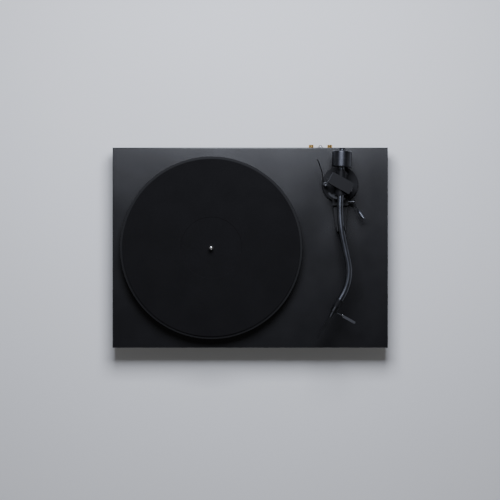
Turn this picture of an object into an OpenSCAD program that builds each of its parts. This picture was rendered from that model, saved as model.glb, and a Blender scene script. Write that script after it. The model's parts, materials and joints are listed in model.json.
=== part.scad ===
// Belt-driven record player: a lacquered plinth board on four damped feet, a die-cast platter
// on a sub-platter, and an S-shaped tonearm on a round base.
// +X is the arm side, +Y the connector side, +Z up. The origin is at the bottom centre.

/* [Plinth] */
// Width of the plinth board
plinth_w = 455; // [440:1:560]
// Depth of the plinth board
plinth_d = 331; // [320:1:420]
// Thickness of the plinth board
plinth_t = 28; // [26:1:40]
// Rounding along the top edges
plinth_edge = 1.5; // [0.5:0.1:3]

/* [Feet] */
// Diameter of a foot
foot_d = 44; // [30:1:56]
// Height of the foot's cup
foot_cup_h = 20; // [16:1:34]
// How far the rubber pad stands out below the cup
foot_pad_out = 4; // [2:0.5:6]
// Distance of a foot's centre from the plinth's edges
foot_inset = 40; // [30:1:60]

/* [Platter] */
// Diameter of the platter
platter_d = 300; // [250:1:305]
// Height of the platter
platter_h = 19; // [17:0.5:32]
// Thickness of the platter's top web
platter_web = 6; // [4:0.5:8]
// Thickness of the platter's rim
platter_rim = 9; // [6:0.5:16]
// Gap between the platter and the plinth
platter_gap = 4; // [3:0.5:8]
// Distance from the platter to the plinth's left edge
platter_margin = 13.5; // [8:0.5:30]
// Thickness of the platter mat
mat_t = 2.5; // [1.5:0.5:5]
// How far the mat stays inside the platter's edge
mat_margin = 4; // [1:0.5:10]
// Diameter of the recess for a record's label
label_d = 100; // [96:1:104]
// Diameter of the record spindle
spindle_d = 7.1; // [6.9:0.05:7.2]
// Height of the spindle above the mat
spindle_h = 13; // [9:0.5:16]

/* [Drive] */
// Diameter of the sub-platter's belt rim
sub_d = 150; // [120:1:155]
// Diameter of the motor pulley's belt seat
pulley_d = 20; // [14:0.5:22]
// Width of the belt
belt_w = 5; // [4:0.5:6]
// Thickness of the belt
belt_t = 0.8; // [0.6:0.1:1.2]
// Diameter of the platter bearing's axle
axle_d = 8; // [7.4:0.1:10]
// Diameter of the motor
motor_d = 46; // [36:1:50]
// Diameter of the motor shaft
motor_shaft_d = 3; // [2:0.5:5]

/* [Tonearm] */
// Effective length, pivot to stylus
arm_length = 254; // [212:1:305]
// How far the stylus swings past the spindle
overhang = 17.5; // [14:0.5:20]
// Angle of the pivot as seen from the spindle
pivot_heading = 26.3; // [22:0.1:32]
// Diameter of the arm tube
tube_d = 10; // [8:0.5:11]
// Wall of the arm tube
tube_wall = 0.8; // [0.5:0.1:1.5]
// Height of the arm tube's axis above the mat
tube_h = 25.5; // [24:0.5:34]
// Drop from the tube's axis to the stylus tip
stylus_drop = 17; // [15:0.5:19]
// Diameter of the sleeve that carries the tube
sleeve_d = 17.5; // [14:0.5:20]
// Diameter of the counterweight
weight_d = 32; // [28:1:38]
// Length of the counterweight
weight_l = 26; // [20:1:30]
// Diameter of the rear stub
stub_d = 9; // [7:0.5:10]

/* [Arm base] */
// Diameter of the round arm base
base_d = 59.4; // [58:0.5:80]
// Height of the arm base
base_h = 10; // [8:0.5:16]
// Diameter of the height pillar
pillar_d = 22; // [20:0.5:26]
// Length of the bearing block
block_l = 39.5; // [38:0.5:44]
// Width of the bearing block
block_w = 19.6; // [18:0.2:24]
// Radius of the cue platform about the arm's pivot
cue_r = 25; // [24.6:0.1:28]

/* [Connectors] */
// How far the phono sockets reach out behind the plinth
socket_out = 5; // [4:0.5:8]
// Outer diameter of a phono socket
socket_d = 8.3; // [8.2:0.1:8.4]
// Spacing between the ground post and each phono socket
socket_pitch = 15.4; // [14:0.1:20]

/* [Hidden] */
$fn = 64;
joint = 0.02;        // air between seated pieces of one body
run = 0.05;          // radial air of a running fit
air = 0.4;           // air between pieces that move past each other
over = 1;            // how far a cut runs past a face

// Heights, from the floor up
bottom_z = foot_cup_h + foot_pad_out;
top_z = bottom_z + plinth_t;
platter_z = top_z + platter_gap;
platter_top = platter_z + platter_h;
mat_top = platter_top + mat_t;
web_z = platter_top - platter_web;
tube_z = mat_top + tube_h;
base_top = top_z + base_h;

// Places in plan
plinth_y = -socket_out / 2;
front_y = plinth_y - plinth_d / 2;
back_y = plinth_y + plinth_d / 2;
hub_x = -plinth_w / 2 + platter_margin + platter_d / 2;
hub_y = plinth_y;
pivot_x = hub_x + (arm_length - overhang) * cos(pivot_heading);
pivot_y = hub_y + (arm_length - overhang) * sin(pivot_heading);

// Feet
foot_wall = 4;
foot_x = plinth_w / 2 - foot_inset;
foot_y = plinth_d / 2 - foot_inset;
foot_bolt_d = 5;
foot_bolt_grip = 14;

// Platter bearing
barrel_d = 24;
barrel_below = 11;
flange_d = 44;
flange_t = 3;
bush_wall = 3;
bush_l = 10;
pad_t = 3;
ball_d = 5;
ball_gap = 0.05;
floor_t = 2;
bush_or = axle_d / 2 + bush_wall;
barrel_z = bottom_z - barrel_below;
pad_z = barrel_z + floor_t;
ball_z = pad_z + pad_t;
axle_z = ball_z + ball_d + ball_gap;
hub_seat_d = spindle_d + 0.8;   // the spindle's seat in the platter and the mat
low_bush_z = axle_z + 2;
high_bush_z = top_z - bush_l + 2;

// Belt drive
sub_t = 3;
sub_wall = 4;
belt_gap = 0.35;
belt_z = top_z + flange_t + 4;
sub_z = belt_z - 1.5;
pulley_flange = 1.5;
motor_reach = platter_d / 2 - platter_rim - pulley_d / 2 - pulley_flange - 17.5;
motor_heading = 125;
motor_x = hub_x + motor_reach * cos(motor_heading);
motor_y = hub_y + motor_reach * sin(motor_heading);
motor_plate_t = 1.5;
motor_plate_d = motor_d + 24;
grommet_h = 2;
grommet_d = 9;
motor_plate_z = top_z + grommet_h;
motor_h = plinth_t - 4;
shaft_z = motor_plate_z - motor_h + 6;

// Electronics under the board
board_l = 90;
board_x = max(hub_x - 30, foot_d / 2 + board_l / 2 + 9 - foot_x);
board_y = front_y + 75;
board_w = 46;
pocket_h = 12;
cover_t = 2;
switch_x = -plinth_w / 2 + 87;
switch_y = front_y + 18;
switch_w = 24;
switch_d = 16;
switch_h = 13;
rocker_r = 9;
rocker_w = 17;
rocker_d = 9;

// Rear connectors
ground_x = pivot_x - 31.6;
panel_w = 78;
panel_h = 22;
panel_t = 2;
panel_x = ground_x - 9;
chamber_d = 28;
chamber_h = 16;
connector_z = bottom_z + plinth_t / 2;
panel_in = 4.5;
panel_face = back_y - panel_in;
inlet_x = ground_x - 36;
lead_d = 4;
lead_z = bottom_z + 5;

// Tonearm in plan: two straights and two bends before the last straight
lean = 5.94;          // stylus seen from the pivot, off the first straight
offset_angle = 21;
head_turn = lean + offset_angle;
rest_turn = 2.2;      // the arm's turn in its rest
straight_1 = 31.3;
bend_r1 = arm_length * 1.02;
bend_1 = 14.5;
bend_r2 = arm_length * 0.303;
stylus = [-arm_length * sin(lean), -arm_length * cos(lean)];
bend_1_end = [bend_r1 * (1 - cos(bend_1)), -straight_1 - bend_r1 * sin(bend_1)];
bend_2_run = bend_r2 * [cos(head_turn) - cos(bend_1), -sin(bend_1) - sin(head_turn)];
left_over = stylus - bend_1_end - bend_2_run;
turn_sum = bend_1 + head_turn;
straight_2 = (left_over.x * cos(head_turn) - left_over.y * sin(head_turn)) / sin(turn_sum);
straight_3 = -(left_over.y * sin(bend_1) + left_over.x * cos(bend_1)) / sin(turn_sum);
bend_2_start = bend_1_end + straight_2 * [sin(bend_1), -cos(bend_1)];
bend_2_centre = bend_2_start - bend_r2 * [cos(bend_1), sin(bend_1)];
head_start = bend_2_start + bend_2_run;

// Arm head, as distances behind the stylus
tip_reach = 2.5;
blade_l = 38;
neck_l = 10;
flange_l = 9;
collar_l = 13.5;
flange_s = blade_l + neck_l;
collar_s = flange_s + flange_l;
tube_end_s = collar_s + 3;
blade_w = 7;
tip_w = 4.5;
collar_d = tube_d + 3.2;
head_flange_d = tube_d + 1.2;
lift_s = flange_s + 1.6;
lift_stalk_d = 1.6;

// Arm bearing
sleeve_front = 19;
sleeve_back = 19.8;
shoulder_end = 23;
weight_start = 27;
weight_end = weight_start + weight_l;
stub_end = weight_end + 0.3;
knob_l = 5;
seam = 0.02;
seam_in = 0.2;
lift_max = 10;        // room in the sleeve's slot for a hand lift
cue_angle = 1.9;      // how far the raised cue holds the arm above its lowest place
pin_d = 3;
pin_start = sleeve_d / 2 - 2.2;
pin_end = block_l / 2 - 3.2;
slot_half_w = sleeve_d / 2 + 0.8;
slot_half_h = sleeve_d / 2 + block_w / 2 / cos(head_turn) * sin(lift_max) + 0.7;
block_roof = 3;
block_floor = 4;
block_low = -slot_half_h - block_floor;
block_high = slot_half_h + block_roof;
pillar_wall = 3.5;
race_l = 5;
stem_d = 7;
pillar_top = tube_z + block_low - 1.5;
// Over a foot's bolt the pillar ends above the bolt
bolt_gap = norm([abs(pivot_x) - foot_x, abs(pivot_y - plinth_y) - foot_y]);
pillar_bottom = bottom_z + (bolt_gap < (pillar_d + foot_bolt_d) / 2 + 2 ? foot_bolt_grip + 1 : 12);
stem_z = pillar_bottom + 2;

// Cue lift
cue_w = 3.2;
cue_t = 3;
cue_from = 217;
cue_to = 286;
cue_top = tube_z - tube_d / 2 - air;
rod_d = 4;
rod_heading = 250;
rod_x = cue_r * cos(rod_heading);
rod_y = cue_r * sin(rod_heading);
cue_throw = cue_r * cos(head_turn) * tan(cue_angle);
cam_d = 6.4;
cam_turn = 25;        // half of the lever's travel
cam_reach = cue_throw / (2 * sin(cam_turn));
cue_shaft_d = 5.8;
cue_journal_d = 4;
cue_shaft_y = -29.3;
cue_shaft_end = 23.5;
cue_shaft_bare = 14;
housing_t = 14;
housing_half = 13;
housing_front = cue_shaft_y - 6;
housing_back = cue_shaft_y + 9.8;
cue_shaft_z = base_top + 7;
foot_plate_z = cue_shaft_z + cue_throw / 2 + cam_d / 2 + 0.3;
foot_plate_t = 1.5;
lever_heading = -57.5;
lever_rise = 25;
lever_rod_l = 20;
lever_grip_l = 18;
lever_rod_d = 2;
lever_x = cue_shaft_end - 3;

// Arm rest
wing_t = 6;
rest_l = 8;
rest_along = 73.5 - straight_1;
rest_angle = rest_along / bend_r1 * 180 / PI;
rest_at = [bend_r1 * (1 - cos(rest_angle)), -straight_1 - bend_r1 * sin(rest_angle)];
rest_sag = -(rest_at.x * sin(head_turn) + rest_at.y * cos(head_turn)) * sin(cue_angle);
saddle_r = tube_d / 2 + air;
ear_w = 1.8;
ear_low = -tube_d / 2 - air;
ear_high = 3;
rest_x = rest_at.x * cos(rest_turn) + rest_at.y * sin(rest_turn);
rest_y = -rest_at.x * sin(rest_turn) + rest_at.y * cos(rest_turn);

// Thread hanger
hanger_post_x = -24.6;
hanger_post_d = 6.6;
hanger_post_top = tube_z + block_low - 3.5;
hanger_wire_d = 1.8;

// ---- Shared shapes ----

module screw(head_d, head_h, shank_d, shank_l) {
    cylinder(d = head_d, h = head_h);
    translate([0, 0, -shank_l]) cylinder(d = shank_d, h = shank_l + joint);
}

module at_corners() {
    for (sx = [-1, 1]) for (sy = [-1, 1]) translate([sx * foot_x, plinth_y + sy * foot_y, 0]) children();
}

module at_hub() { translate([hub_x, hub_y, 0]) children(); }

module at_motor() { translate([motor_x, motor_y, 0]) children(); }

// The arm base's frame: pivot at the origin of X and Y
module at_pivot() { translate([pivot_x, pivot_y, 0]) children(); }

// The arm's own frame: the first straight runs to -Y, and the tube's axis lies at Z = 0
module at_arm() { translate([pivot_x, pivot_y, tube_z]) rotate([0, 0, -rest_turn]) children(); }

// The tilt axis's frame: X runs along the tilt axis
module at_block() { at_arm() rotate([0, 0, -head_turn]) children(); }

// The head's frame: Y runs back along the head's axis from the stylus
module at_head(s) {
    at_arm() translate([stylus.x, stylus.y, 0]) rotate([0, 0, -head_turn]) translate([0, s, 0]) children();
}

// Turns a shape that stands along +Z so that it runs along +Y
module along_y() { rotate([-90, 0, 0]) children(); }

// Turns a shape that stands along +Z so that it runs along +X
module along_x() { rotate([0, 90, 0]) children(); }

module pipe(outer_d, inner_d, h) {
    difference() {
        cylinder(d = outer_d, h = h);
        translate([0, 0, -over]) cylinder(d = inner_d, h = h + 2 * over);
    }
}

module rounded_top(w, h, r) {
    translate([-w / 2, 0]) square([w, h - r]);
    translate([-w / 2 + r, 0]) square([w - 2 * r, h]);
    for (side = [-1, 1]) translate([side * (w / 2 - r), h - r]) circle(r = r);
}

// ---- Plinth and feet ----

module plinth_block() {
    intersection() {
        translate([0, front_y, bottom_z]) rotate([90, 0, 180])
            linear_extrude(plinth_d) rounded_top(plinth_w, plinth_t, plinth_edge);
        translate([-plinth_w / 2, plinth_y, bottom_z]) rotate([90, 0, 90])
            linear_extrude(plinth_w) rounded_top(plinth_d, plinth_t, plinth_edge);
    }
}

module plinth() {
    color("#1b1b1e") difference() {
        plinth_block();
        at_hub() translate([0, 0, bottom_z - over])
            cylinder(d = barrel_d + 2 * joint, h = plinth_t + 2 * over);
        at_motor() translate([0, 0, bottom_z - over]) cylinder(d = motor_d + 10, h = plinth_t + 2 * over);
        at_pivot() translate([0, 0, bottom_z - over]) cylinder(d = pillar_d + 4, h = plinth_t + 2 * over);
        at_corners() translate([0, 0, bottom_z - over])
            cylinder(d = foot_bolt_d + 2 * joint, h = foot_bolt_grip + over + joint);
        translate([board_x - board_l / 2, board_y - board_w / 2, bottom_z - over])
            cube([board_l, board_w, pocket_h + over]);
        translate([board_x - board_l / 2 - 8, board_y - board_w / 2 - 8, bottom_z - over])
            cube([board_l + 16, board_w + 16, cover_t + over]);
        at_cover_screws() translate([0, 0, bottom_z]) cylinder(d = 2.5 + 2 * joint, h = 12);
        translate([switch_x - switch_w / 2 - joint, switch_y - switch_d / 2 - joint, bottom_z - over])
            cube([switch_w + 2 * joint, switch_d + 2 * joint, switch_h + over + joint]);
        translate([panel_x, panel_face, connector_z]) {
            translate([-panel_w / 2 - joint, -panel_t - joint, -panel_h / 2 - joint])
                cube([panel_w + 2 * joint, panel_t + panel_in + over + joint, panel_h + 2 * joint]);
            translate([3 - panel_w / 2, -panel_t - chamber_d, -chamber_h / 2])
                cube([panel_w - 6, chamber_d + over, chamber_h]);
        }
        translate([pivot_x - 14, pivot_y, bottom_z - over])
            cube([8, back_y - 12 - pivot_y, connector_z - bottom_z + over]);
        at_panel_screws() along_y() translate([0, 0, -10]) cylinder(d = 2 + 2 * joint, h = 10 + over);
        at_bearing_screws() translate([0, 0, top_z - 12]) cylinder(d = 3 + 2 * joint, h = 12 + over);
        at_grommets() translate([0, 0, top_z - 12]) cylinder(d = 3 + 2 * joint, h = 12 + over);
        at_base_screws() translate([0, 0, top_z - 12]) cylinder(d = 3 + 2 * joint, h = 12 + over);
    }
}

module at_cover_screws() {
    for (sx = [-1, 1]) for (sy = [-1, 1])
        translate([board_x + sx * (board_l / 2 + 4), board_y + sy * (board_w / 2 + 4), 0]) children();
}

module base_cover() {
    color("#202022") difference() {
        translate([board_x - board_l / 2 - 7.8, board_y - board_w / 2 - 7.8, bottom_z])
            cube([board_l + 15.6, board_w + 15.6, cover_t - joint]);
        at_cover_screws() translate([0, 0, bottom_z - over])
            cylinder(d = 2.5 + 2 * joint, h = cover_t + 2 * over);
    }
}

module cover_screws() {
    color("#8a8a8c") at_cover_screws() translate([0, 0, bottom_z - joint]) mirror([0, 0, 1])
        screw(5, 1.4, 2.5, 10);
}

module foot() {
    color("#2a2a2c") difference() {
        translate([0, 0, foot_pad_out]) cylinder(d = foot_d, h = foot_cup_h);
        translate([0, 0, foot_pad_out - over])
            cylinder(d = foot_d - 2 * foot_wall, h = foot_cup_h - foot_wall + over);
        cylinder(d = foot_bolt_d + 2 * joint, h = bottom_z + over);
    }
}

module pad() {
    pad_top = bottom_z - foot_wall - 5;
    color("#151515") difference() {
        union() {
            cylinder(d = foot_d - 2 * foot_wall - 2 * joint, h = pad_top);
        }
        translate([0, 0, pad_top - 6]) cylinder(d = 14, h = 6 + over);
    }
}

module at_foot(sx, sy) { translate([sx * foot_x, plinth_y + sy * foot_y, 0]) children(); }

module foot_front_left() { at_foot(-1, -1) foot(); }
module foot_front_right() { at_foot(1, -1) foot(); }
module foot_back_left() { at_foot(-1, 1) foot(); }
module foot_back_right() { at_foot(1, 1) foot(); }
module pad_front_left() { at_foot(-1, -1) pad(); }
module pad_front_right() { at_foot(1, -1) pad(); }
module pad_back_left() { at_foot(-1, 1) pad(); }
module pad_back_right() { at_foot(1, 1) pad(); }

module foot_screws() {
    color("#9a9a9c") at_corners() translate([0, 0, bottom_z - foot_wall - joint]) mirror([0, 0, 1])
        screw(11, 3, foot_bolt_d, foot_wall + foot_bolt_grip);
}

// ---- Platter bearing ----

module bearing_housing() {
    color("#b08d57") at_hub() difference() {
        union() {
            translate([0, 0, barrel_z]) cylinder(d = barrel_d, h = top_z - barrel_z + flange_t);
            translate([0, 0, top_z]) cylinder(d = flange_d, h = flange_t);
        }
        translate([0, 0, pad_z]) cylinder(r = bush_or + joint, h = top_z);
        for (a = [0, 120, 240]) rotate([0, 0, a]) translate([flange_d / 2 - 5, 0, top_z - over])
            cylinder(d = 3 + 2 * joint, h = flange_t + 2 * over);
    }
}

module at_bearing_screws() {
    at_hub() for (a = [0, 120, 240]) rotate([0, 0, a]) translate([flange_d / 2 - 5, 0, 0]) children();
}

module bearing_screws() {
    color("#8a8a8c") at_bearing_screws() translate([0, 0, top_z + flange_t + joint]) screw(5.5, 2, 3, 13);
}

module bearing_bushes() {
    color("#c08a4a") at_hub() for (z = [low_bush_z, high_bush_z])
        translate([0, 0, z]) pipe(2 * bush_or, axle_d + 2 * run, bush_l);
}

module thrust_pad() {
    color("#e6e2d6") at_hub() translate([0, 0, pad_z + joint])
        cylinder(r = bush_or - joint, h = pad_t - 2 * joint);
}

module thrust_ball() {
    color("#d9d9dc") at_hub() translate([0, 0, ball_z + ball_d / 2]) sphere(d = ball_d);
}

// ---- Platter ----

module spindle() {
    tip = spindle_d / 2;
    color("#d8d8da") at_hub() {
        translate([0, 0, axle_z]) cylinder(d = axle_d, h = web_z - axle_z - joint);
        translate([0, 0, web_z - 1]) cylinder(d = hub_seat_d, h = mat_top - 0.05 - web_z + 1);
        translate([0, 0, web_z]) cylinder(d = spindle_d, h = mat_top + spindle_h - tip - web_z);
        translate([0, 0, mat_top + spindle_h - tip]) sphere(d = spindle_d);
    }
}

module sub_platter() {
    color("#26262a") at_hub() difference() {
        translate([0, 0, sub_z]) cylinder(d = sub_d, h = web_z - joint - sub_z);
        translate([0, 0, sub_z - over]) difference() {
            cylinder(d = sub_d - 2 * sub_wall, h = web_z - sub_t - sub_z + over);
            cylinder(d = 3 * axle_d, h = web_z);
        }
        translate([0, 0, sub_z - over]) cylinder(d = axle_d + 2 * joint, h = web_z);
    }
}

module platter() {
    color("#202023") at_hub() difference() {
        translate([0, 0, platter_z]) rotate_extrude($fn = 128) difference() {
            union() {
                square([platter_d / 2 - 1, platter_h]);
                translate([0, 1]) square([platter_d / 2, platter_h - 2]);
                for (y = [1, platter_h - 1]) translate([platter_d / 2 - 1, y]) circle(r = 1);
            }
            translate([-over, -over])
                square([platter_d / 2 - platter_rim + over, platter_h - platter_web + over]);
        }
        translate([0, 0, web_z - over]) cylinder(d = hub_seat_d + 4 * joint, h = platter_web + 2 * over);
    }
}

module damping_ring() {
    color("#3a3a3d") at_hub() translate([0, 0, web_z - 3])
        pipe(platter_d - 2 * platter_rim - 2 * joint, platter_d - 2 * platter_rim - 12, 3 - joint);
}

module mat() {
    color("#19181b") at_hub() difference() {
        translate([0, 0, platter_top + joint])
            cylinder(r = platter_d / 2 - mat_margin, h = mat_t - joint, $fn = 128);
        translate([0, 0, platter_top - over]) cylinder(d = hub_seat_d + 10 * joint, h = mat_t + 2 * over);
        translate([0, 0, mat_top - 0.5]) cylinder(d = label_d, h = over);
    }
}

// ---- Drive ----

module belt_outline(gap) {
    hull() {
        circle(r = sub_d / 2 + gap);
        translate([motor_reach * cos(motor_heading), motor_reach * sin(motor_heading)])
            circle(r = pulley_d / 2 + gap);
    }
}

module drive_belt() {
    color("#141414") at_hub() translate([0, 0, belt_z]) linear_extrude(belt_w) difference() {
        belt_outline(belt_gap + belt_t, $fn = 96);
        belt_outline(belt_gap, $fn = 96);
    }
}

module motor() {
    color("#8f9296") at_motor() difference() {
        translate([0, 0, motor_plate_z - motor_h - joint]) cylinder(d = motor_d, h = motor_h);
        translate([0, 0, shaft_z - 1]) cylinder(d = motor_shaft_d + 2 * run, h = motor_h);
    }
}

module at_grommets() {
    at_motor() for (turn = [60, 180, 300]) rotate([0, 0, motor_heading + turn])
        translate([motor_d / 2 + 7.8, 0, 0]) children();
}

module motor_plate() {
    color("#6d6f73") difference() {
        at_motor() translate([0, 0, motor_plate_z]) cylinder(d = motor_plate_d, h = motor_plate_t);
        at_motor() translate([0, 0, motor_plate_z - over])
            cylinder(d = motor_shaft_d + 3, h = motor_plate_t + 2 * over);
        at_grommets() translate([0, 0, motor_plate_z - over])
            cylinder(d = 3 + 2 * joint, h = motor_plate_t + 2 * over);
    }
}

module motor_grommets() {
    color("#1a1a1a") at_grommets() translate([0, 0, top_z])
        pipe(grommet_d - 2, 3 + 2 * joint, grommet_h - joint);
    color("#8a8a8c") at_grommets() translate([0, 0, motor_plate_z + motor_plate_t + joint])
        screw(5, 1, 3, 13);
}

module motor_pulley() {
    color("#b9bbbe") at_motor() {
        translate([0, 0, shaft_z]) cylinder(d = motor_shaft_d, h = belt_z - shaft_z);
        translate([0, 0, belt_z - 1.2]) cylinder(r = pulley_d / 2 + pulley_flange, h = 0.8);
        translate([0, 0, belt_z - 0.5]) cylinder(d = pulley_d, h = belt_w + 1);
        translate([0, 0, belt_z + belt_w + 0.4]) cylinder(r = pulley_d / 2 + pulley_flange, h = 0.8);
    }
}

// ---- Electronics ----

module control_board() {
    z = bottom_z + pocket_h - 5;
    color("#1f5b3a") translate([board_x - board_l / 2 + 3, board_y - board_w / 2 + 3, z])
        cube([board_l - 6, board_w - 6, 1.6]);
    color("#222222") translate([board_x - 12, board_y - 8, z - 1.6]) cube([18, 12, 1.7]);
    for (i = [0:2]) color("#3a3f6b") translate([board_x - 34 + 9 * i, board_y + 12, z - 4])
        cylinder(d = 6, h = 4.1);
    color("#d8d4c8") translate([board_x + 24, board_y - 12, z - 4]) cube([8, 22, 4.1]);
}

module switch_housing() {
    color("#18181a") difference() {
        translate([switch_x - switch_w / 2, switch_y - switch_d / 2, bottom_z])
            cube([switch_w, switch_d, switch_h]);
        translate([switch_x - rocker_w / 2 - air - 0.6, switch_y - rocker_d / 2 - air, bottom_z - over])
            cube([rocker_w + 2 * air + 1.2, rocker_d + 2 * air, switch_h - 2 + over]);
        translate([switch_x, switch_y - switch_d / 2 + 1, bottom_z + 5]) along_y()
            cylinder(d = 2, h = switch_d - 2);
    }
}

module switch_rocker() {
    color("#2c2c2f") {
        intersection() {
            translate([switch_x, switch_y - rocker_d / 2, bottom_z + 5]) along_y()
                cylinder(r = rocker_r, h = rocker_d);
            translate([switch_x - rocker_w / 2, switch_y - rocker_d, bottom_z - 3])
                cube([rocker_w, 2 * rocker_d, 9]);
        }
        translate([switch_x, switch_y - switch_d / 2 + 1.3, bottom_z + 5]) along_y()
            cylinder(d = 2 - 2 * run, h = switch_d - 2.6);
    }
}

// ---- Rear connectors ----

module at_panel_screws() {
    for (side = [-1, 1])
        translate([panel_x + side * (panel_w / 2 - 5), panel_face, connector_z + panel_h / 2 - 3])
        children();
}

module at_sockets() {
    for (side = [-1, 1]) translate([ground_x + side * socket_pitch, panel_face, connector_z]) children();
}

module rear_panel() {
    color("#17171a") difference() {
        translate([panel_x - panel_w / 2, panel_face - panel_t, connector_z - panel_h / 2])
            cube([panel_w, panel_t, panel_h]);
        at_sockets() along_y() translate([0, 0, -panel_t - over])
            cylinder(d = 6 + 2 * joint, h = panel_t + 2 * over);
        translate([ground_x, panel_face - panel_t - over, connector_z]) along_y()
            cylinder(d = 4 + 2 * joint, h = panel_t + 2 * over);
        translate([inlet_x, panel_face - panel_t - over, connector_z]) along_y()
            cylinder(d = 9 + 2 * joint, h = panel_t + 2 * over);
        at_panel_screws() along_y() translate([0, 0, -panel_t - over])
            cylinder(d = 2 + 2 * joint, h = panel_t + 2 * over);
    }
}

module panel_screws() {
    color("#8a8a8c") at_panel_screws() along_y() translate([0, 0, joint]) screw(4, 1.2, 2, 9);
}

module phono_sockets() {
    color("#c9a24a") at_sockets() along_y() {
        difference() {
            union() {
                translate([0, 0, joint]) cylinder(d = socket_d, h = socket_out + panel_in - joint);
                translate([0, 0, -panel_t - 4]) cylinder(d = 6, h = panel_t + 5);
            }
            translate([0, 0, -1]) cylinder(d = 6.4 - 2, h = 12);
        }
    }
}

module socket_insulators() {
    color("#e8e4da") at_sockets() along_y() translate([0, 0, -1 + joint]) pipe(4.4 - 2 * joint, 3.2, 9);
}

module ground_post() {
    color("#c4c5c8") translate([ground_x, panel_face, connector_z]) along_y() {
        translate([0, 0, -panel_t - 5]) cylinder(d = 4, h = panel_t + 5 + panel_in + socket_out - 0.5);
        translate([0, 0, -panel_t - 3 - joint]) cylinder(d = 8, h = 3, $fn = 6);
    }
}

module ground_nut() {
    color("#d0d1d4") translate([ground_x, panel_face + 0.4, connector_z]) along_y() difference() {
        union() {
            cylinder(d = 9, h = 5.5);
            cylinder(d = 7, h = 7);
        }
        translate([0, 0, -over]) cylinder(d = 4 + 2 * run, h = 10);
    }
}

module power_inlet() {
    color("#151517") translate([inlet_x, panel_face, connector_z]) along_y() {
        difference() {
            translate([0, 0, -14]) cylinder(d = 9, h = 14);
            translate([0, 0, -10]) cylinder(d = 5.6, h = 12);
        }
        translate([0, 0, -11]) cylinder(d = 2, h = 9);
    }
}

module signal_leads() {
    corner_x = pivot_x - 10;
    color("#2b2b2e") {
        translate([corner_x, pivot_y + 4, lead_z]) along_y()
            cylinder(d = lead_d, h = panel_face - 22 - pivot_y - 4);
        translate([corner_x, pivot_y + 4, lead_z]) sphere(d = lead_d);
        translate([corner_x, pivot_y + 4, lead_z]) cylinder(d = lead_d, h = pillar_bottom - 0.5 - lead_z);
        translate([corner_x, panel_face - 22, lead_z]) sphere(d = lead_d);
        translate([corner_x, panel_face - 22, lead_z]) cylinder(d = lead_d, h = connector_z - lead_z);
        translate([corner_x, panel_face - 22, connector_z]) sphere(d = lead_d);
        translate([ground_x - socket_pitch, panel_face - 22, connector_z]) along_x()
            cylinder(d = lead_d, h = corner_x - ground_x + socket_pitch);
        for (x = [ground_x - socket_pitch, ground_x + socket_pitch]) {
            translate([x, panel_face - 22, connector_z]) sphere(d = lead_d);
            translate([x, panel_face - 22, connector_z]) along_y()
                cylinder(d = lead_d, h = 22 - panel_t - 4 - joint);
        }
    }
}

// ---- Arm base ----

module at_base_screws() {
    at_pivot() for (a = [60, 180 + 60, 330]) rotate([0, 0, a]) translate([base_d / 2 - 9, 0, 0]) children();
}

module arm_base() {
    edge = 0.8;
    color("#1c1c1f") difference() {
        at_pivot() translate([0, 0, top_z]) rotate_extrude($fn = 96) {
            square([base_d / 2, base_h - edge]);
            square([base_d / 2 - edge, base_h]);
            translate([base_d / 2 - edge, base_h - edge]) circle(r = edge);
        }
        at_pivot() translate([0, 0, top_z - over])
            cylinder(d = pillar_d + 2 * joint, h = base_h + 2 * over);
        at_base_screws() translate([0, 0, top_z - over]) cylinder(d = 3 + 2 * joint, h = base_h + 2 * over);
        at_base_screws() translate([0, 0, base_top - 2.5]) cylinder(d = 6, h = 2.5 + over);
        at_pivot() for (a = [-4, 131]) rotate([0, 0, a])
            translate([pillar_d / 2, 0, top_z + base_h / 2]) along_x()
            cylinder(d = 4 + 2 * joint, h = base_d);
    }
}

module base_screws() {
    color("#303033") at_base_screws() translate([0, 0, base_top - 2.5 + joint])
        screw(5.6, 2, 3, base_h + 8);
    color("#6c6d70") at_pivot() for (a = [-4, 131]) rotate([0, 0, a])
        translate([pillar_d / 2 + joint, 0, top_z + base_h / 2]) along_x()
            cylinder(d = 4, h = base_d / 2 - pillar_d / 2 - 1.5);
}

module height_pillar() {
    color("#232326") at_pivot() difference() {
        translate([0, 0, pillar_bottom]) cylinder(d = pillar_d, h = pillar_top - pillar_bottom);
        translate([0, 0, pillar_bottom - over])
            cylinder(d = pillar_d - 2 * pillar_wall, h = pillar_top - pillar_bottom + 2 * over);
    }
}

module vertical_bearings() {
    color("#b9bbbe") at_pivot() for (z = [pillar_bottom + 3, pillar_top - race_l - 1])
        translate([0, 0, z]) pipe(pillar_d - 2 * pillar_wall - 2 * joint, stem_d + 2 * run, race_l);
}

module arm_rest() {
    wing_z = base_top + joint;
    saddle_z = tube_z - rest_sag;
    color("#1e1e21") at_pivot() {
        translate([0, 0, wing_z]) linear_extrude(wing_t)
            polygon([[-11.6, -36 - joint], [-9.6, -53], [-6.9, rest_y - 4], [-2.3, rest_y - 10.5],
                [8.6, rest_y - 10.5], [9.4, rest_y + 1], [10.7, -53], [12.4, -36 - joint]]);
        translate([0, 0, wing_z - 8 + joint]) linear_extrude(8 + wing_t / 2)
            polygon([[-9, -36 - joint], [-8, -44], [9, -44], [10, -36 - joint]]);
        translate([rest_x, rest_y, 0]) rotate([0, 0, rest_angle - rest_turn]) difference() {
            union() {
                translate([-saddle_r - ear_w, -rest_l / 2, wing_z + 1])
                    cube([2 * saddle_r + 2 * ear_w, rest_l, tube_z + ear_low - wing_z - 1]);
                translate([saddle_r, -rest_l / 2, wing_z + 1])
                    cube([ear_w, rest_l, tube_z + ear_high - wing_z - 1]);
            }
            translate([0, -rest_l, saddle_z]) along_y() cylinder(r = saddle_r, h = 2 * rest_l);
            translate([-saddle_r, -rest_l, saddle_z]) cube([2 * saddle_r, 2 * rest_l, 20]);
        }
    }
}

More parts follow.
